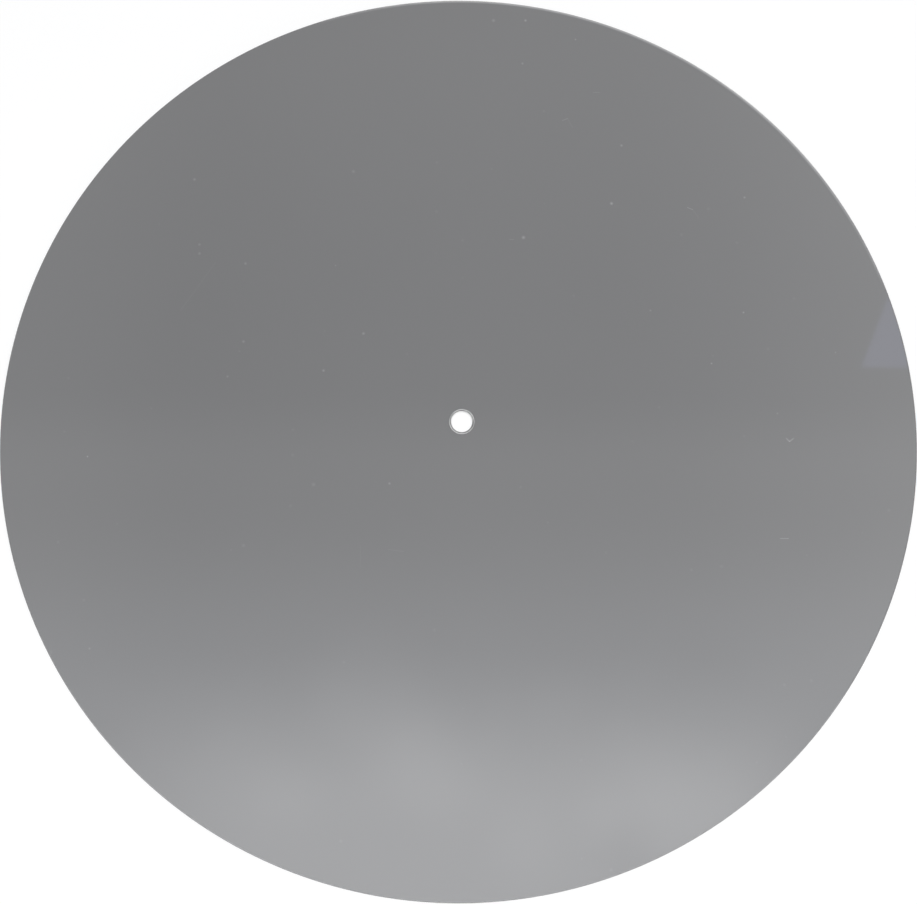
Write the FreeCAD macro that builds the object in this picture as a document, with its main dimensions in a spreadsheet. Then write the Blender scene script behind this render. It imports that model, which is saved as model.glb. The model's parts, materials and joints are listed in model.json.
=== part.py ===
"""A turntable mat: one disc of rigid gloss sheet with a spindle hole through its centre.

All sizes are in millimetres. The origin is the centre of the spindle hole on the underside,
and +Z points up, out of the face that carries the record.
"""
import FreeCAD, Part
import math
import os
import Sketcher

# Driving dimensions: alias, size and what it means
DIMENSIONS = [
    ("mat_diameter", 295.0, "Outside diameter, a little under a twelve inch record"),
    ("mat_thickness", 3.0, "Thickness of the sheet that the disc is cut from"),
    ("spindle_diameter", 7.1, "Diameter of the platter's spindle"),
    ("spindle_clearance", 0.2, "Hole diameter less spindle diameter"),
    ("hole_chamfer", 0.45, "Width of the 45 degree chamfer at each end of the hole"),
    ("rim_radius", 0.5, "Radius of the eased edges round the rim"),
]

# Each eased edge takes at most this share of the thickness, so that a wall stays between two
EDGE_SHARE = 0.45


def make_sheet(doc):
    """Writes the driving dimensions to a spreadsheet, one aliased cell each."""
    sheet = doc.addObject("Spreadsheet::Sheet", "Dimensions")
    for row, (alias, size, meaning) in enumerate(DIMENSIONS, start=1):
        sheet.set(f"A{row}", alias)
        sheet.set(f"B{row}", str(size))
        sheet.set(f"C{row}", meaning)
        sheet.setAlias(f"B{row}", alias)
    doc.recompute()
    return sheet


def origin_plane(body, role):
    """Returns the body's own origin plane that plays the given role."""
    for feature in body.Origin.OriginFeatures:
        if feature.Role == role:
            return feature
    raise ValueError(f"no origin plane {role}")


def centred_circle(body, name, diameter_expression):
    """A sketch on the body's base plane: one circle about the axis, bound to the sheet."""
    sketch = body.newObject("Sketcher::SketchObject", name)
    sketch.AttachmentSupport = [(origin_plane(body, "XY_Plane"), "")]
    sketch.MapMode = "FlatFace"
    centre = FreeCAD.Vector(0, 0, 0)
    up = FreeCAD.Vector(0, 0, 1)
    start_radius = 10.0
    sketch.addGeometry(Part.Circle(centre, up, start_radius), False)
    sketch.addConstraint(Sketcher.Constraint("Coincident", 0, 3, -1, 1))
    diameter = sketch.addConstraint(Sketcher.Constraint("Diameter", 0, 2 * start_radius))
    sketch.setExpression(f"Constraints[{diameter}]", diameter_expression)
    return sketch


def round_edges(shape, radius):
    """Names of the circular edges with the given radius, at the top and at the bottom."""
    names = []
    for number, edge in enumerate(shape.Edges, start=1):
        curve = edge.Curve
        if isinstance(curve, Part.Circle) and math.isclose(curve.Radius, radius, rel_tol=1e-6):
            names.append(f"Edge{number}")
    return names


def make_mat(doc, sheet):
    """The mat: a padded disc with a hole through it, eased rim edges and chamfered hole edges."""
    body = doc.addObject("PartDesign::Body", "Mat")
    body.Label = "mat"

    disc = body.newObject("PartDesign::Pad", "Disc")
    disc.Profile = centred_circle(body, "DiscOutline", "Dimensions.mat_diameter")
    disc.setExpression("Length", "Dimensions.mat_thickness")
    doc.recompute()
    full_volume = disc.Shape.Volume

    hole_diameter = "Dimensions.spindle_diameter + Dimensions.spindle_clearance"
    hole = body.newObject("PartDesign::Pocket", "SpindleHole")
    hole.Profile = centred_circle(body, "SpindleHoleOutline", hole_diameter)
    hole.Type = "ThroughAll"
    hole.Reversed = True
    doc.recompute()
    if hole.Shape.Volume >= full_volume:
        raise ValueError("the spindle hole cuts nothing")

    rim = body.newObject("PartDesign::Fillet", "RimEdges")
    rim.Base = (hole, round_edges(hole.Shape, sheet.mat_diameter / 2))
    rim.setExpression("Radius", f"min(Dimensions.rim_radius; {EDGE_SHARE} * Dimensions.mat_thickness)")
    doc.recompute()

    hole_radius = (sheet.spindle_diameter + sheet.spindle_clearance) / 2
    lead_in = body.newObject("PartDesign::Chamfer", "HoleEdges")
    lead_in.Base = (rim, round_edges(rim.Shape, hole_radius))
    lead_in.setExpression("Size", f"min(Dimensions.hole_chamfer; {EDGE_SHARE} * Dimensions.mat_thickness)")
    doc.recompute()
    return body


def check(doc, bodies):
    """Stops the script if any object failed, or a body isn't one valid solid."""
    for item in doc.Objects:
        if "Invalid" in item.State or "Error" in item.State:
            raise ValueError(f"{item.Label} failed: {item.State}")
    for body in bodies:
        shape = body.Shape
        if shape.isNull() or not shape.isValid() or len(shape.Solids) != 1:
            raise ValueError(f"{body.Label} isn't one valid solid")


def main():
    doc = FreeCAD.newDocument("TurntableMat")
    sheet = make_sheet(doc)
    bodies = [make_mat(doc, sheet)]
    doc.recompute()
    check(doc, bodies)
    os.makedirs("parts", exist_ok=True)
    for body in bodies:
        body.Shape.exportStep(f"parts/{body.Label}.step")
        box = body.Shape.optimalBoundingBox()
        print(f"{body.Label}: volume {body.Shape.Volume:.2f} mm3, faces {len(body.Shape.Faces)},"
              f" box {box.XLength:.3f} x {box.YLength:.3f} x {box.ZLength:.3f}")


main()
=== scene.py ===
"""Looks for a turntable mat: a disc of gloss grey acrylic on a white table, seen nearly from above.

The mat is one lathed mesh over its solid, polished on its faces and machined in its hole, with
shade and highlight painted on the hole's chamfers, light painted into its pale wall and a highlight
painted on part of its rim. The light comes from a pale ceiling that the mat mirrors. All sizes are
in metres, in the frame of the solids, apart from places in the photograph, which are in its pixels.
"""
import json
import math
from collections import namedtuple
import bpy
from mathutils import Matrix, Vector


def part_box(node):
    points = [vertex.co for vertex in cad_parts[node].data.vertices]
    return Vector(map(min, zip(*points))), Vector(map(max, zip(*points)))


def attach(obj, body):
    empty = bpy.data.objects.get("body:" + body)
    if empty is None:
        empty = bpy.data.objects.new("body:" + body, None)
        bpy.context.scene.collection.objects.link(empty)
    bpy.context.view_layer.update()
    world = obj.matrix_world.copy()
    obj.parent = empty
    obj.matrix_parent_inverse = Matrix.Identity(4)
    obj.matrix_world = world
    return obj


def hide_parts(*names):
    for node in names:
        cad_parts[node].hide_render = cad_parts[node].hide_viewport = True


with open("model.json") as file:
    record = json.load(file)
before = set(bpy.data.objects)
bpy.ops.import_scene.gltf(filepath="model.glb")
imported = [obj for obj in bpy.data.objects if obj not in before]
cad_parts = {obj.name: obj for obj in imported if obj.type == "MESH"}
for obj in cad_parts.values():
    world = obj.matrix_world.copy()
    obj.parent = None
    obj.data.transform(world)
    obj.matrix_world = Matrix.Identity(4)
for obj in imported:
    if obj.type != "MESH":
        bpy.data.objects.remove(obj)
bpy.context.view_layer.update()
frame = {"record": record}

# Sizes of the mat, from its solid and its mount
MAT_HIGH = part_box("mat")[1]
RADIUS = MAT_HIGH[0]
THICKNESS = MAT_HIGH[2]
SPINDLE_HOLE = next(m for m in frame["record"]["mounts"] if m["name"] == "spindle_hole")
HOLE_RADIUS = SPINDLE_HOLE["dims"]["r_mm"] / 1000
CHAMFER = (THICKNESS - SPINDLE_HOLE["dims"]["length_mm"] / 1000) / 2
RIM_RADIUS = 0.0005

# Where the chamfer's painted shade line ends and its painted highlight line, as shares of its width
# from the hole's wall, and how blurred those ends are and how far the shade line is shifted back,
# also as shares
SHADE_LINE_END = 0.39
HIGHLIGHT_LINE_END = 0.82
LINE_BLUR = 0.05
SHADE_LINE_SHIFT = 0.11

# The direction in which the painted highlight line is brightest, from this share of the hole's radius on
BRIGHTEST_HIGHLIGHT_DIRECTION = (0.30, 0.95, 0.0)
BRIGHTEST_HIGHLIGHT_REACH = 0.9

# How finely the mat is lathed
SEGMENTS = 288
RIM_STEPS = 8
TOP_RINGS = (0.006, 0.009, 0.014, 0.022, 0.033, 0.048, 0.066, 0.086, 0.106, 0.126, 0.142)

# Finishes of the mat; the hole's chamfers and wall also carry painted light and shade in their greys
POLISHED = 0
LED_IN = 1
BORED = 2

# The acrylic: how strongly it bends light, and the two greys that its mottle runs between
ACRYLIC_IOR = 1.49
DARKER_GREY = (0.184, 0.1845, 0.187)
PALER_GREY = (0.188, 0.1885, 0.191)

# Levels in the hole, each from its lowest to its highest: the wall's, partly the cut's own pale
# frost and partly painted light, the chamfers' from the painted shade line to the sheet's grey, and
# what the painted highlight line adds to that
BORE_LEVELS = (0.86, 0.92)
LEAD_IN_SHADE_LEVELS = (0.02, 0.187)
HIGHLIGHT_LINE_LEVELS = (0.40, 0.76)

# Scales of the acrylic's patterns, in cells per metre
MOTTLE_SCALE = 30.0
HAZE_SCALE = 14.0
WAVE_SCALE = 22.0
CUT_GRAIN_SCALE = 2500.0

# Roughness of the polished faces and of a cut surface, how much roughness a mark adds for each part
# of its paleness, and the height of the surface's waves
HAZE_ROUGHNESS = (0.03, 0.05)
CUT_ROUGHNESS = (0.25, 0.4)
MARK_ROUGHNESS = 1.5
WAVE_HEIGHT = 0.00002

# Where most values of a noise lie, and the part of them that the haze uses
NOISE_SPREAD = (0.3, 0.7)
HAZE_SPREAD = (0.35, 0.75)

# The photograph's frame, in pixels
PHOTO_WIDTH = 917
PHOTO_HEIGHT = 904
MIDDLE_COLUMN = 460
MIDDLE_ROW = 451

# The camera, found from the mat's outline and hole in the photograph
CAMERA_PLACE = Vector((0.0, -0.0681, 0.3550))
CAMERA_AIM = Vector((0.0062, -0.0099, 0.0030))
CAMERA_LENS = 43.675
CAMERA_SENSOR = 36.0
CAMERA_SHIFT = -0.0246

# The ceiling's height and corners, and the width of the border where it fades out
CEILING_HEIGHT = 0.9
CEILING_LOW = (-0.66, -0.60)
CEILING_HIGH = (0.66, 0.80)
CEILING_FADE = 0.12

# Changes of the ceiling's level: the columns, or rows, of the photograph between which each is
# mirrored, and the level before it and after it
Change = namedtuple("Change", "start end before after")
SOFTBOX_DOWN = Change(641, 813, 0.0, 2.5)
SOFTBOX_LEFT = Change(0, 278, 0.0, 1.0)
SOFTBOX_RIGHT = Change(704, 841, 1.0, 0.0)
PLAIN_ACROSS = [
    Change(28, 542, 0.31, 0.63),
    Change(565, 1300, 0.0, 2.1),
    Change(0, 222, 0.42, 0.0),
]
PLAIN_DOWN = [
    Change(0, 330, 0.42, 0.0),
    Change(384, 467, 0.0, 0.42),
]
COOL_DOWN = Change(492, 714, 0.0, 1.32)

# How far the softbox's edge billows either way, and the billows' scale in cells per metre
BILLOW = 0.005
BILLOW_SCALE = 9.0

# Colours of the light
WHITE = (1, 1, 1, 1)
COOL_TINT = (0.95, 0.985, 1.05, 1)

# The skylight: the pixels of the photograph that mirror its corners, how far it hangs below the
# ceiling, its tint and its level
SKYLIGHT_CORNERS = [(861, 367), (887, 297), (940, 297), (940, 368)]
SKYLIGHT_DROP = 0.01
SKYLIGHT_TINT = (0.9, 0.92, 1.15, 1)
SKYLIGHT_LEVEL = 2.3

# The studio's light: its level at the horizon and overhead, and the rise of a direction, as its
# height over its length, from which it counts as overhead
HORIZON_LEVEL = 1.0
OVERHEAD_LEVEL = 0.35
OVERHEAD_RISE = 0.5

# The table: half its width, its grey to the light and its grey to the camera, and the levels of its
# own white near the mat and far off, with the distances between which they change
TABLE_HALF = 8.0
TABLE_LIT = (0.8, 0.8, 0.8, 1)
TABLE_SHADED = (0.25, 0.25, 0.25, 1)
TABLE_WHITE_LEVELS = (0.76, 0.95)
TABLE_WHITE_SPAN = (0.4, 1.6)

# A shadow painted on the table under the mat as a dark ring, so that the white in the hole ends where
# it does in the photograph: how far its middle is moved from where the camera sees the hole's middle,
# where it begins and where it fades out again, and its level
WALL_SHADOW_SHIFT = Vector((-0.00005, -0.00008, 0))
WALL_SHADOW_START = (0.00331, 0.00351)
WALL_SHADOW_END = (0.01, 0.02)
WALL_SHADOW_LEVEL = 0.1

# Soft round spots of the ceiling, brighter or darker: the pixel of the photograph that mirrors the
# middle of each, its reach in pixels and how much it changes the ceiling's level
Cloud = namedtuple("Cloud", "column row reach level")
CLOUDS = [
    Cloud(408, 752, 75, 0.50),
    Cloud(662, 803, 90, 0.46),
    Cloud(525, 845, 60, 0.32),
    Cloud(370, 690, 90, 0.35),
    Cloud(445, 790, 60, 0.28),
    Cloud(284, 790, 55, 0.30),
    Cloud(596, 818, 45, 0.28),
    Cloud(630, 856, 50, -0.40),
    Cloud(715, 705, 90, -0.20),
]

# Dust on the top face: its pixel in the photograph, its half width and how much it pales the grey
Speck = namedtuple("Speck", "column row width paleness")
SPECKS = [
    Speck(611, 203, 0.00078, 0.125),
    Speck(523, 237, 0.00090, 0.105),
    Speck(525, 20, 0.00070, 0.100),
    Speck(621, 145, 0.00066, 0.084),
    Speck(363, 333, 0.00072, 0.078),
    Speck(323, 370, 0.00067, 0.086),
    Speck(389, 483, 0.00061, 0.081),
    Speck(711, 363, 0.00047, 0.100),
    Speck(87, 456, 0.00039, 0.135),
    Speck(743, 312, 0.00050, 0.105),
    Speck(194, 179, 0.00075, 0.063),
    Speck(243, 341, 0.00072, 0.065),
    Speck(744, 197, 0.00057, 0.086),
    Speck(493, 20, 0.00095, 0.055),
    Speck(199, 253, 0.00075, 0.055),
    Speck(199, 244, 0.00070, 0.050),
    Speck(245, 263, 0.00071, 0.062),
    Speck(650, 310, 0.00050, 0.064),
    Speck(575, 39, 0.00044, 0.095),
    Speck(522, 63, 0.00063, 0.067),
    Speck(227, 376, 0.00058, 0.057),
    Speck(313, 484, 0.00095, 0.036),
    Speck(835, 352, 0.00043, 0.052),
    Speck(353, 171, 0.00089, 0.043),
    Speck(335, 265, 0.00040, 0.064),
    Speck(89, 648, 0.00052, 0.053),
    Speck(777, 413, 0.00053, 0.045),
    Speck(243, 545, 0.00085, 0.030),
]

# Hairs and scratches on the top face, from one pixel to another
Hair = namedtuple("Hair", "column row end_column end_row width paleness")
HAIRS = [
    Hair(509, 239, 513, 239, 0.00022, 0.04),
    Hair(786, 438, 789, 441, 0.00020, 0.15),
    Hair(789, 441, 793, 438, 0.00020, 0.15),
    Hair(780, 538, 788, 538, 0.00022, 0.09),
    Hair(687, 207, 692, 209, 0.00020, 0.09),
    Hair(692, 209, 698, 217, 0.00020, 0.02),
    Hair(562, 120, 567, 118, 0.00022, 0.06),
    Hair(567, 118, 572, 127, 0.00022, 0.02),
    Hair(593, 92, 599, 92, 0.00022, 0.04),
    Hair(388, 549, 403, 551, 0.00022, 0.02),
    Hair(360, 545, 360, 566, 0.00022, 0.012),
    Hair(180, 310, 215, 262, 0.00025, 0.012),
]

# Stretches of the rim's edge made paler: both ends in degrees from +X, the width, and how much each
# pales. The first, at the back right, is a painted highlight; the second is a fainter pale band in front
RimBand = namedtuple("RimBand", "start end width paleness")
RIM_BANDS = [
    RimBand(15, 115, 0.0012, 0.20),
    RimBand(-165, -25, 0.00065, 0.13),
]

# Where a band is fully pale, as a share of its width in from the edge, how far from its ends it
# fades and how ragged that is, both in degrees, and the ragged pattern's scale in cells per metre
RIM_BAND_FULL_AT = 0.35
RIM_BAND_FADE = 25
RIM_BAND_RAGGED = 5
RIM_BAND_RAGGED_SCALE = 60.0

# Fine dust scattered over the top face: the pattern's scale in cells per metre, the share of cells
# that hold a speck, and a speck's half width, how much that varies either way, and its paleness
FINE_DUST_SCALE = 110.0
FINE_DUST_SHARE = 0.08
FINE_DUST_WIDTH = 0.0006
FINE_DUST_VARIES = 0.4
FINE_DUST_PALENESS = 0.018


def camera_axes():
    """The camera's right, up and backward directions: its right side is level along +X."""
    forward = (CAMERA_AIM - CAMERA_PLACE).normalized()
    right = forward.cross(Vector((0, 1, 0))).normalized()
    up = right.cross(forward)
    return right, up, -forward


def sight_line(column, row):
    """The direction from the camera through the middle of a pixel of the photograph."""
    right, up, backward = camera_axes()
    across = ((column + 0.5) / PHOTO_WIDTH - 0.5 + CAMERA_SHIFT) * CAMERA_SENSOR / CAMERA_LENS
    above = (PHOTO_HEIGHT / 2 - row - 0.5) / PHOTO_WIDTH * CAMERA_SENSOR / CAMERA_LENS
    return right * across + up * above - backward


def on_mat(column, row):
    """The point of the top face that a pixel of the photograph shows."""
    line = sight_line(column, row)
    return CAMERA_PLACE + line * ((THICKNESS - CAMERA_PLACE.z) / line.z)


def mirrored(column, row, height):
    """The point at some height that a pixel of the photograph shows in the mat's gloss."""
    line = sight_line(column, row)
    return on_mat(column, row) + Vector((line.x, line.y, -line.z)) * ((THICKNESS - height) / line.z)


def make_camera():
    data = bpy.data.cameras.new("camera")
    data.lens = CAMERA_LENS
    data.sensor_width = CAMERA_SENSOR
    data.shift_x = CAMERA_SHIFT
    data.clip_start = 0.01
    camera = bpy.data.objects.new("camera", data)
    bpy.context.scene.collection.objects.link(camera)
    camera.matrix_world = Matrix.Translation(CAMERA_PLACE) @ Matrix(camera_axes()).transposed().to_4x4()
    bpy.context.scene.camera = camera


def add_node(tree, kind, inputs=None, **settings):
    """Adds a node; an input given as a socket is linked, and any other value is set."""
    item = tree.nodes.new(kind)
    for name, value in settings.items():
        setattr(item, name, value)
    for key, value in (inputs or {}).items():
        if isinstance(value, bpy.types.NodeSocket):
            tree.links.new(value, item.inputs[key])
        else:
            item.inputs[key].default_value = value
    return item


def sum_of(tree, first, second):
    return add_node(tree, "ShaderNodeMath", {0: first, 1: second}, operation="ADD").outputs[0]


def product(tree, first, second):
    return add_node(tree, "ShaderNodeMath", {0: first, 1: second}, operation="MULTIPLY").outputs[0]


def new_material(name):
    """A material with nothing in it but its output."""
    material = bpy.data.materials.new(name)
    material.use_nodes = True
    tree = material.node_tree
    tree.nodes.clear()
    output = tree.nodes.new("ShaderNodeOutputMaterial")
    return material, tree, output


def noise(tree, place, scale, detail=2.0):
    inputs = {"Vector": place, "Scale": scale, "Detail": detail}
    return add_node(tree, "ShaderNodeTexNoise", inputs).outputs["Fac"]


def ramp(tree, value, low, high, to_low, to_high):
    """Maps value smoothly from low..high to to_low..to_high, held at both ends."""
    item = add_node(tree, "ShaderNodeMapRange",
                    {"Value": value, "From Min": low, "From Max": high, "To Min": to_low, "To Max": to_high},
                    interpolation_type="SMOOTHSTEP", clamp=True)
    return item.outputs["Result"]


def plan_distance(tree, place, middle):
    """How far each place lies from a point at height 0, measured in plan."""
    flat = add_node(tree, "ShaderNodeVectorMath", {0: place, 1: (1, 1, 0)}, operation="MULTIPLY")
    return add_node(tree, "ShaderNodeVectorMath", {0: flat.outputs["Vector"], 1: middle},
                    operation="DISTANCE").outputs["Value"]


def two_greys(tree, factor, first, second):
    mix = add_node(tree, "ShaderNodeMix", {"Factor": factor}, data_type="RGBA")
    mix.inputs["A"].default_value = (*first, 1)
    mix.inputs["B"].default_value = (*second, 1)
    return mix.outputs["Result"]


def hair_group():
    """A node group for one hair: how pale a place is, from its distance to a short line."""
    group = bpy.data.node_groups.new("hair", "ShaderNodeTree")
    for name, kind in (("Place", "NodeSocketVector"), ("Start", "NodeSocketVector"),
                       ("Span", "NodeSocketVector"), ("Width", "NodeSocketFloat"),
                       ("Paleness", "NodeSocketFloat")):
        group.interface.new_socket(name, in_out="INPUT", socket_type=kind)
    group.interface.new_socket("Level", in_out="OUTPUT", socket_type="NodeSocketFloat")
    given = group.nodes.new("NodeGroupInput")
    result = group.nodes.new("NodeGroupOutput")

    def vector(operation, inputs, output="Vector"):
        return add_node(group, "ShaderNodeVectorMath", inputs, operation=operation).outputs[output]

    offset = vector("SUBTRACT", {0: given.outputs["Place"], 1: given.outputs["Start"]})
    along = vector("DOT_PRODUCT", {0: offset, 1: given.outputs["Span"]}, "Value")
    length = vector("DOT_PRODUCT", {0: given.outputs["Span"], 1: given.outputs["Span"]}, "Value")
    share = add_node(group, "ShaderNodeMath", {0: along, 1: length},
                     operation="DIVIDE", use_clamp=True).outputs[0]
    nearest = vector("SCALE", {0: given.outputs["Span"], "Scale": share})
    distance = vector("DISTANCE", {0: offset, 1: nearest}, "Value")
    level = ramp(group, distance, 0.0, given.outputs["Width"], given.outputs["Paleness"], 0.0)
    group.links.new(level, result.inputs["Level"])
    return group


def dust(tree, place):
    """How much the named specks, hairs and scratches pale each place of the top face."""
    levels = []
    for speck in SPECKS:
        distance = add_node(tree, "ShaderNodeVectorMath", {0: place, 1: on_mat(speck.column, speck.row)},
                            operation="DISTANCE").outputs["Value"]
        levels.append(ramp(tree, distance, 0.0, speck.width, speck.paleness, 0.0))
    group = hair_group()
    for hair in HAIRS:
        start = on_mat(hair.column, hair.row)
        span = on_mat(hair.end_column, hair.end_row) - start
        one = tree.nodes.new("ShaderNodeGroup")
        one.node_tree = group
        tree.links.new(place, one.inputs["Place"])
        one.inputs["Start"].default_value = start
        one.inputs["Span"].default_value = span
        one.inputs["Width"].default_value = hair.width
        one.inputs["Paleness"].default_value = hair.paleness
        levels.append(one.outputs["Level"])
    total = levels[0]
    for level in levels[1:]:
        total = sum_of(tree, total, level)
    return total


def fine_dust(tree, place):
    """How much the scattered specks, one in some of a pattern's cells, pale each place."""
    cells = add_node(tree, "ShaderNodeTexVoronoi", {"Vector": place, "Scale": FINE_DUST_SCALE},
                     voronoi_dimensions="2D")
    choice = add_node(tree, "ShaderNodeSeparateColor", {"Color": cells.outputs["Color"]})
    chosen = add_node(tree, "ShaderNodeMath", {0: choice.outputs["Red"], 1: FINE_DUST_SHARE},
                      operation="LESS_THAN").outputs[0]
    width = FINE_DUST_WIDTH * FINE_DUST_SCALE
    reach = ramp(tree, choice.outputs["Green"], 0.0, 1.0,
                 (1 - FINE_DUST_VARIES) * width, (1 + FINE_DUST_VARIES) * width)
    spot = ramp(tree, cells.outputs["Distance"], 0.0, reach, FINE_DUST_PALENESS, 0.0)
    return product(tree, spot, chosen)


def rim_band_level(tree, place, rim_band):
    """A paler band on one stretch of the rim's edge, fading out towards both its ends; at the back right it
    is a painted highlight.
    """
    parts = add_node(tree, "ShaderNodeSeparateXYZ", {"Vector": place})
    band = ramp(tree, plan_distance(tree, place, (0, 0, 0)), RADIUS - rim_band.width,
                RADIUS - RIM_BAND_FULL_AT * rim_band.width, 0.0, rim_band.paleness)
    turn = add_node(tree, "ShaderNodeMath", {0: parts.outputs["Y"], 1: parts.outputs["X"]},
                    operation="ARCTAN2").outputs[0]
    most = math.radians(RIM_BAND_RAGGED)
    ragged = ramp(tree, noise(tree, place, RIM_BAND_RAGGED_SCALE), *NOISE_SPREAD, -most, most)
    turn = sum_of(tree, turn, ragged)
    start = ramp(tree, turn, math.radians(rim_band.start), math.radians(rim_band.start + RIM_BAND_FADE), 0.0, 1.0)
    end = ramp(tree, turn, math.radians(rim_band.end - RIM_BAND_FADE), math.radians(rim_band.end), 1.0, 0.0)
    return product(tree, product(tree, start, end), band)


def acrylic():
    """Polished grey cast acrylic: faint mottle, wiping haze, dust, pale bands on the rim's edge, one of them
    a painted highlight, and a nearly flat gloss surface.
    """
    material, tree, output = new_material("acrylic_gloss")
    place = add_node(tree, "ShaderNodeTexCoord").outputs["Object"]

    grey = two_greys(tree, noise(tree, place, MOTTLE_SCALE, detail=3.0), DARKER_GREY, PALER_GREY)
    dust_and_rim_bands = sum_of(tree, dust(tree, place), fine_dust(tree, place))
    # The rim's pale bands join the dust; the one at the back right is a painted highlight
    for rim_band in RIM_BANDS:
        dust_and_rim_bands = sum_of(tree, dust_and_rim_bands, rim_band_level(tree, place, rim_band))
    pale = add_node(tree, "ShaderNodeVectorMath", {0: grey, 1: dust_and_rim_bands}, operation="ADD")

    haze = ramp(tree, noise(tree, place, HAZE_SCALE, detail=4.0), *HAZE_SPREAD, *HAZE_ROUGHNESS)
    rough = sum_of(tree, haze, product(tree, dust_and_rim_bands, MARK_ROUGHNESS))

    waves = noise(tree, place, WAVE_SCALE, detail=1.0)
    bump = add_node(tree, "ShaderNodeBump", {"Height": waves, "Strength": 1.0, "Distance": WAVE_HEIGHT})

    shader = add_node(tree, "ShaderNodeBsdfPrincipled",
                      {"Base Color": pale.outputs["Vector"], "Roughness": rough, "IOR": ACRYLIC_IOR,
                       "Normal": bump.outputs["Normal"]})
    tree.links.new(shader.outputs["BSDF"], output.inputs["Surface"])
    return material


def cut_finish(tree, output, level, grain):
    """Gives a surface that a tool cut the grey level it is given, with its painted light and shade, and a
    finely grained roughness.
    """
    rough = ramp(tree, grain, *NOISE_SPREAD, *CUT_ROUGHNESS)
    shader = add_node(tree, "ShaderNodeBsdfPrincipled",
                      {"Base Color": level, "Roughness": rough, "IOR": ACRYLIC_IOR})
    tree.links.new(shader.outputs["BSDF"], output.inputs["Surface"])


def acrylic_bore():
    """The hole's wall: the same acrylic, made far paler than the faces to fit the photograph; the paleness is
    partly the cut's own frost and partly painted light.
    """
    material, tree, output = new_material("acrylic_bore")
    place = add_node(tree, "ShaderNodeTexCoord").outputs["Object"]
    grain = noise(tree, place, CUT_GRAIN_SCALE)
    # The wall's pale level is partly the cut's frost and partly painted light
    cut_finish(tree, output, ramp(tree, grain, 0.0, 1.0, *BORE_LEVELS), grain)
    return material


def acrylic_lead_in():
    """The hole's chamfers: a painted shade line by the wall, a painted highlight line round it, brightest
    along one direction, then the sheet's grey.
    """
    material, tree, output = new_material("acrylic_lead_in")
    place = add_node(tree, "ShaderNodeTexCoord").outputs["Object"]
    shade_end = HOLE_RADIUS + SHADE_LINE_END * CHAMFER
    highlight_end = HOLE_RADIUS + HIGHLIGHT_LINE_END * CHAMFER
    blur = LINE_BLUR * CHAMFER
    # The dark line by the wall is painted shade, its middle shifted towards the back
    shifted = plan_distance(tree, place, (0, SHADE_LINE_SHIFT * CHAMFER, 0))
    lit = ramp(tree, shifted, shade_end - blur, shade_end + blur, 0.0, 1.0)
    pale = ramp(tree, plan_distance(tree, place, (0, 0, 0)), highlight_end - blur, highlight_end + blur, 1.0, 0.0)
    # The pale line round it is a painted highlight, brightest along one direction
    along = add_node(tree, "ShaderNodeVectorMath", {0: place, 1: BRIGHTEST_HIGHLIGHT_DIRECTION}, operation="DOT_PRODUCT")
    along = add_node(tree, "ShaderNodeMath", {0: along.outputs["Value"]}, operation="ABSOLUTE").outputs[0]
    paleness = ramp(tree, along, 0.0, BRIGHTEST_HIGHLIGHT_REACH * HOLE_RADIUS, *HIGHLIGHT_LINE_LEVELS)
    painted_highlight = product(tree, product(tree, lit, pale), paleness)
    level = sum_of(tree, ramp(tree, lit, 0.0, 1.0, *LEAD_IN_SHADE_LEVELS), painted_highlight)
    cut_finish(tree, output, level, noise(tree, place, CUT_GRAIN_SCALE))
    return material


def arc(centre, radius, start, end, steps):
    """Stations along an arc of the profile: radius, height and the outward normal of each."""
    stations = []
    for step in range(steps + 1):
        angle = math.radians(start + (end - start) * step / steps)
        normal = (math.cos(angle), math.sin(angle))
        stations.append((centre[0] + radius * normal[0], centre[1] + radius * normal[1], *normal))
    return stations


def straight(points, normal):
    """Stations along a straight stretch of the profile."""
    return [(radius, height, *normal) for radius, height in points]


# A stretch of the profile: its stations, its finish and the chart of the texture that it lies on
Stretch = namedtuple("Stretch", "stations finish chart")


def mat_profile():
    """The mat's profile, from the hole's upper edge out, round the rim and back through the hole."""
    hole_edge = HOLE_RADIUS + CHAMFER
    rim_edge = RADIUS - RIM_RADIUS
    rings = [hole_edge, *TOP_RINGS, rim_edge]
    side = [(RADIUS, THICKNESS - RIM_RADIUS), (RADIUS, RIM_RADIUS)]
    lower_lead = [(hole_edge, 0), (HOLE_RADIUS, CHAMFER)]
    upper_lead = [(HOLE_RADIUS, THICKNESS - CHAMFER), (hole_edge, THICKNESS)]
    bore = [(HOLE_RADIUS, CHAMFER), (HOLE_RADIUS, THICKNESS - CHAMFER)]
    slope = math.sqrt(0.5)
    return [
        Stretch(straight([(r, THICKNESS) for r in rings], (0, 1)), POLISHED, "top"),
        Stretch(arc((rim_edge, THICKNESS - RIM_RADIUS), RIM_RADIUS, 90, 0, RIM_STEPS), POLISHED, "top"),
        Stretch(straight(side, (1, 0)), POLISHED, "top"),
        Stretch(arc((rim_edge, RIM_RADIUS), RIM_RADIUS, 0, -90, RIM_STEPS), POLISHED, "top"),
        Stretch(straight([(r, 0) for r in reversed(rings)], (0, -1)), POLISHED, "underside"),
        Stretch(straight(lower_lead, (-slope, -slope)), LED_IN, "hole"),
        Stretch(straight(bore, (-1, 0)), BORED, "hole"),
        Stretch(straight(upper_lead, (-slope, slope)), LED_IN, "hole"),
    ]


# Where the charts lie in the texture's unit square
TOP_CHART = (0.40, 0.40, 0.385)
UNDERSIDE_CHART = (0.815, 0.815, 0.17)
HOLE_CHART = (0.02, 0.83, 0.58, 0.085)


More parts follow.
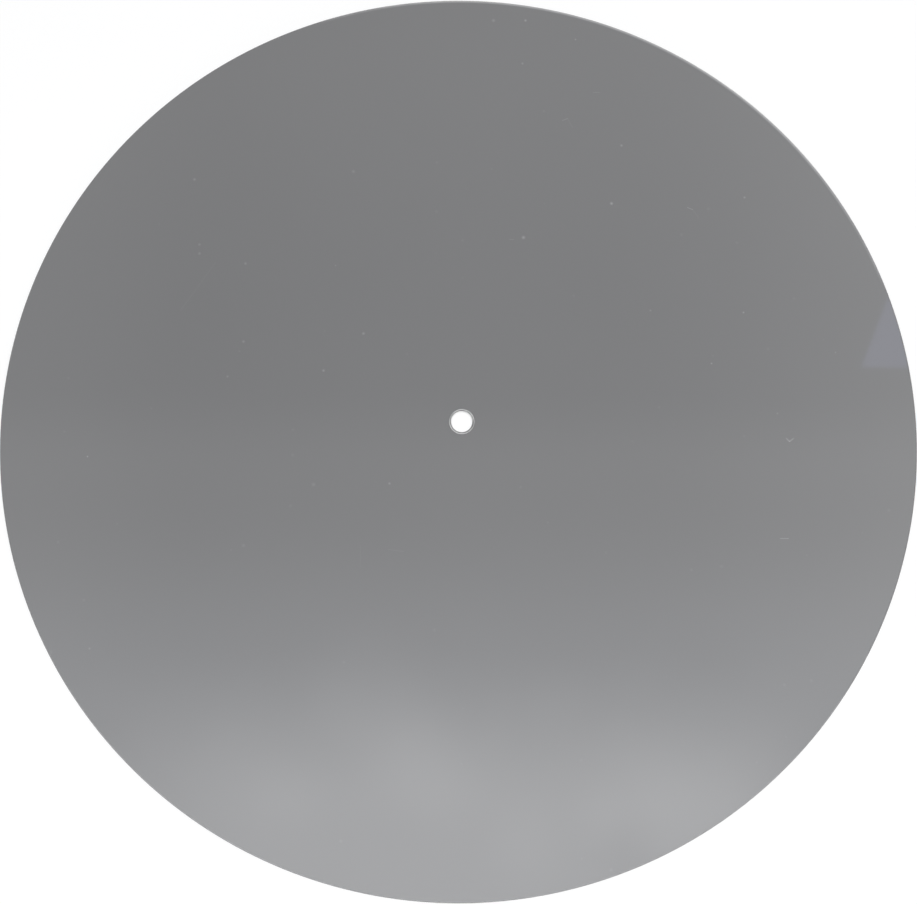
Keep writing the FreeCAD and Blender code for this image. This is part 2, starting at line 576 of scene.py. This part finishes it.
def chart_point(chart, radius, length, turn):
    """A texture coordinate: turn counts round the axis, and length runs along the chart's profile."""
    angle = 2 * math.pi * turn
    if chart == "hole":
        left, low, width, height = HOLE_CHART
        full = 2 * CHAMFER * math.sqrt(2) + THICKNESS - 2 * CHAMFER
        return left + width * turn, low + height * length / full
    if chart == "top":
        across, up, reach = TOP_CHART
        outermost = RADIUS + THICKNESS + (math.pi - 3) * RIM_RADIUS
        out = reach * (HOLE_RADIUS + CHAMFER + length) / outermost
        return across + out * math.cos(angle), up + out * math.sin(angle)
    across, up, reach = UNDERSIDE_CHART
    out = reach * radius / RADIUS
    return across + out * math.cos(angle), up - out * math.sin(angle)


def make_mat():
    """The mat's mesh: its profile turned about the hole's axis, with exact normals and charts."""
    stretches = mat_profile()
    ring_count = sum(len(stretch.stations) - 1 for stretch in stretches)
    points = []
    for stretch in stretches:
        for radius, height, _, _ in stretch.stations[:-1]:
            for k in range(SEGMENTS):
                turn = 2 * math.pi * k / SEGMENTS
                points.append((radius * math.cos(turn), radius * math.sin(turn), height))

    faces = []
    normals = []
    charts = []
    finishes = []
    ring = 0
    lengths = {"top": 0.0, "underside": 0.0, "hole": 0.0}
    for stretch in stretches:
        for here, there in zip(stretch.stations, stretch.stations[1:]):
            after = (ring + 1) % ring_count
            start = lengths[stretch.chart]
            end = start + math.dist(here[:2], there[:2])
            for k in range(SEGMENTS):
                beside = (k + 1) % SEGMENTS
                faces.append((ring * SEGMENTS + k, after * SEGMENTS + k,
                              after * SEGMENTS + beside, ring * SEGMENTS + beside))
                for station, length, count in ((here, start, k), (there, end, k),
                                               (there, end, k + 1), (here, start, k + 1)):
                    radius, _, outward, up = station
                    turn = 2 * math.pi * count / SEGMENTS
                    normals.append((outward * math.cos(turn), outward * math.sin(turn), up))
                    charts += chart_point(stretch.chart, radius, length, count / SEGMENTS)
                finishes.append(stretch.finish)
            lengths[stretch.chart] = end
            ring += 1

    mesh = bpy.data.meshes.new("mat_body")
    mesh.from_pydata(points, [], faces)
    mesh.materials.append(acrylic())
    mesh.materials.append(acrylic_lead_in())
    mesh.materials.append(acrylic_bore())
    mesh.polygons.foreach_set("material_index", finishes)
    mesh.uv_layers.new(name="OFBake").data.foreach_set("uv", charts)
    mesh.shade_smooth()
    mesh.normals_split_custom_set(normals)
    mesh.validate()
    piece = bpy.data.objects.new("mat_body", mesh)
    bpy.context.scene.collection.objects.link(piece)
    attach(piece, "root")
    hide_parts("mat")
    return piece


def glowing(name, corners):
    """A flat stage piece that only reflections and the light itself see, and its bare material."""
    mesh = bpy.data.meshes.new(name)
    mesh.from_pydata(corners, [], [tuple(range(len(corners)))])
    piece = bpy.data.objects.new(name, mesh)
    bpy.context.scene.collection.objects.link(piece)
    piece.visible_camera = False
    material, tree, output = new_material(name)
    mesh.materials.append(material)
    return tree, output


def row_at(row):
    """How far along Y the ceiling's part lies that a row of the photograph shows."""
    return mirrored(MIDDLE_COLUMN, row, CEILING_HEIGHT).y


def column_at(column):
    """How far along X the ceiling's part lies that a column of the photograph shows."""
    return mirrored(column, MIDDLE_ROW, CEILING_HEIGHT).x


def cloud(tree, place, spot):
    """How much one soft round spot changes the ceiling's level."""
    middle = mirrored(spot.column, spot.row, CEILING_HEIGHT)
    distance = add_node(tree, "ShaderNodeVectorMath", {0: place, 1: middle}, operation="DISTANCE")
    return ramp(tree, distance.outputs["Value"], 0.0, column_at(spot.reach) - column_at(0), spot.level, 0.0)


def make_ceiling():
    """The pale ceiling: brightest in front, brighter to the right, and fading out at its border."""
    left, front = CEILING_LOW
    right, back = CEILING_HIGH
    corners = [(left, front), (left, back), (right, back), (right, front)]
    tree, output = glowing("ceiling", [(x, y, CEILING_HEIGHT) for x, y in corners])
    place = add_node(tree, "ShaderNodeTexCoord").outputs["Object"]
    parts = add_node(tree, "ShaderNodeSeparateXYZ", {"Vector": place})
    x, y = parts.outputs["X"], parts.outputs["Y"]
    billow = ramp(tree, noise(tree, place, BILLOW_SCALE, detail=3.0), *NOISE_SPREAD, -BILLOW, BILLOW)

    def across(change):
        """A change of level from one column of the photograph to another."""
        return ramp(tree, x, column_at(change.start), column_at(change.end), change.before, change.after)

    def down(change, place_y=y):
        """A change of level from one row of the photograph down to another."""
        return ramp(tree, place_y, row_at(change.end), row_at(change.start), change.after, change.before)

    softbox = product(tree, down(SOFTBOX_DOWN, sum_of(tree, y, billow)), across(SOFTBOX_LEFT))
    plain = product(tree, softbox, across(SOFTBOX_RIGHT))
    for change in PLAIN_ACROSS:
        plain = sum_of(tree, plain, across(change))
    for change in PLAIN_DOWN:
        plain = sum_of(tree, plain, down(change))
    for spot in CLOUDS:
        plain = sum_of(tree, plain, cloud(tree, place, spot))

    plain_light = add_node(tree, "ShaderNodeEmission", {"Color": WHITE, "Strength": plain})
    cool_light = add_node(tree, "ShaderNodeEmission", {"Color": COOL_TINT, "Strength": down(COOL_DOWN)})
    both = add_node(tree, "ShaderNodeAddShader", {0: plain_light.outputs[0], 1: cool_light.outputs[0]})

    cover = product(tree, ramp(tree, x, left, left + CEILING_FADE, 0.0, 1.0),
                    ramp(tree, x, right - CEILING_FADE, right, 1.0, 0.0))
    cover = product(tree, cover, ramp(tree, y, front, front + CEILING_FADE, 0.0, 1.0))
    cover = product(tree, cover, ramp(tree, y, back - CEILING_FADE, back, 1.0, 0.0))
    clear = tree.nodes.new("ShaderNodeBsdfTransparent")
    faded = add_node(tree, "ShaderNodeMixShader", {0: cover, 1: clear.outputs[0], 2: both.outputs[0]})
    tree.links.new(faded.outputs[0], output.inputs["Surface"])


def make_far_window():
    """The bluish patch at the photograph's right edge, taken to be the corner of a skylight."""
    height = CEILING_HEIGHT - SKYLIGHT_DROP
    corners = [mirrored(column, row, height) for column, row in SKYLIGHT_CORNERS]
    tree, output = glowing("far_window", corners)
    light = add_node(tree, "ShaderNodeEmission", {"Color": SKYLIGHT_TINT, "Strength": SKYLIGHT_LEVEL})
    tree.links.new(light.outputs[0], output.inputs["Surface"])


def seen(tree):
    """1 on rays that show what they reach, straight or in gloss or glass, and 0 on light's own."""
    rays = add_node(tree, "ShaderNodeLightPath").outputs
    shown = rays["Is Camera Ray"]
    for kind in ("Is Glossy Ray", "Is Transmission Ray"):
        shown = add_node(tree, "ShaderNodeMath", {0: shown, 1: rays[kind]}, operation="MAXIMUM").outputs[0]
    return shown


def make_world():
    """A pale studio: it shows white, and lights the mat less from overhead than from the horizon."""
    world = bpy.data.worlds.new("studio")
    bpy.context.scene.world = world
    world.use_nodes = True
    tree = world.node_tree
    tree.nodes.clear()
    output = tree.nodes.new("ShaderNodeOutputWorld")
    direction = add_node(tree, "ShaderNodeTexCoord").outputs["Generated"]
    parts = add_node(tree, "ShaderNodeSeparateXYZ", {"Vector": direction})
    level = ramp(tree, parts.outputs["Z"], 0.0, OVERHEAD_RISE, HORIZON_LEVEL, OVERHEAD_LEVEL)
    level = ramp(tree, seen(tree), 0.0, 1.0, level, 1.0)
    background = add_node(tree, "ShaderNodeBackground", {"Color": WHITE, "Strength": level})
    tree.links.new(background.outputs["Background"], output.inputs["Surface"])


def painted_wall_shadow(tree, place):
    """The share of the table's white that the painted shadow ring under the mat leaves at each place."""
    down_to_table = CAMERA_PLACE.z / (CAMERA_PLACE.z - THICKNESS)
    through_hole = CAMERA_PLACE + (Vector((0, 0, THICKNESS)) - CAMERA_PLACE) * down_to_table
    aside = plan_distance(tree, place, through_hole + WALL_SHADOW_SHIFT)
    darkened = ramp(tree, aside, *WALL_SHADOW_START, 1.0, WALL_SHADOW_LEVEL)
    return sum_of(tree, darkened, ramp(tree, aside, *WALL_SHADOW_END, 0.0, 1.0 - WALL_SHADOW_LEVEL))


def make_floor():
    """A white table: its own white shows to the camera and in gloss, it keeps a soft shadow, and a shadow
    ring is painted on it under the mat.
    """
    half = TABLE_HALF
    mesh = bpy.data.meshes.new("table_top")
    corners = [(-half, -half, 0), (half, -half, 0), (half, half, 0), (-half, half, 0)]
    mesh.from_pydata(corners, [], [(0, 1, 2, 3)])
    floor = bpy.data.objects.new("table_top", mesh)
    bpy.context.scene.collection.objects.link(floor)

    material, tree, output = new_material("table_white")
    place = add_node(tree, "ShaderNodeTexCoord").outputs["Object"]
    away = add_node(tree, "ShaderNodeVectorMath", {0: place}, operation="LENGTH").outputs["Value"]
    plain = add_node(tree, "ShaderNodeBsdfDiffuse", {"Color": TABLE_LIT})
    shaded = add_node(tree, "ShaderNodeBsdfDiffuse", {"Color": TABLE_SHADED})
    own_white = ramp(tree, away, *TABLE_WHITE_SPAN, *TABLE_WHITE_LEVELS)
    # The painted shadow ring darkens the table's own white
    level = product(tree, own_white, painted_wall_shadow(tree, place))
    glow = add_node(tree, "ShaderNodeEmission", {"Color": WHITE, "Strength": level})
    white = add_node(tree, "ShaderNodeAddShader", {0: shaded.outputs[0], 1: glow.outputs[0]})
    surface = add_node(tree, "ShaderNodeMixShader", {0: seen(tree), 1: plain.outputs[0], 2: white.outputs[0]})
    tree.links.new(surface.outputs[0], output.inputs["Surface"])
    mesh.materials.append(material)


bpy.context.scene.view_settings.view_transform = "Standard"
make_camera()
make_mat()
make_world()
make_floor()
make_ceiling()
make_far_window()
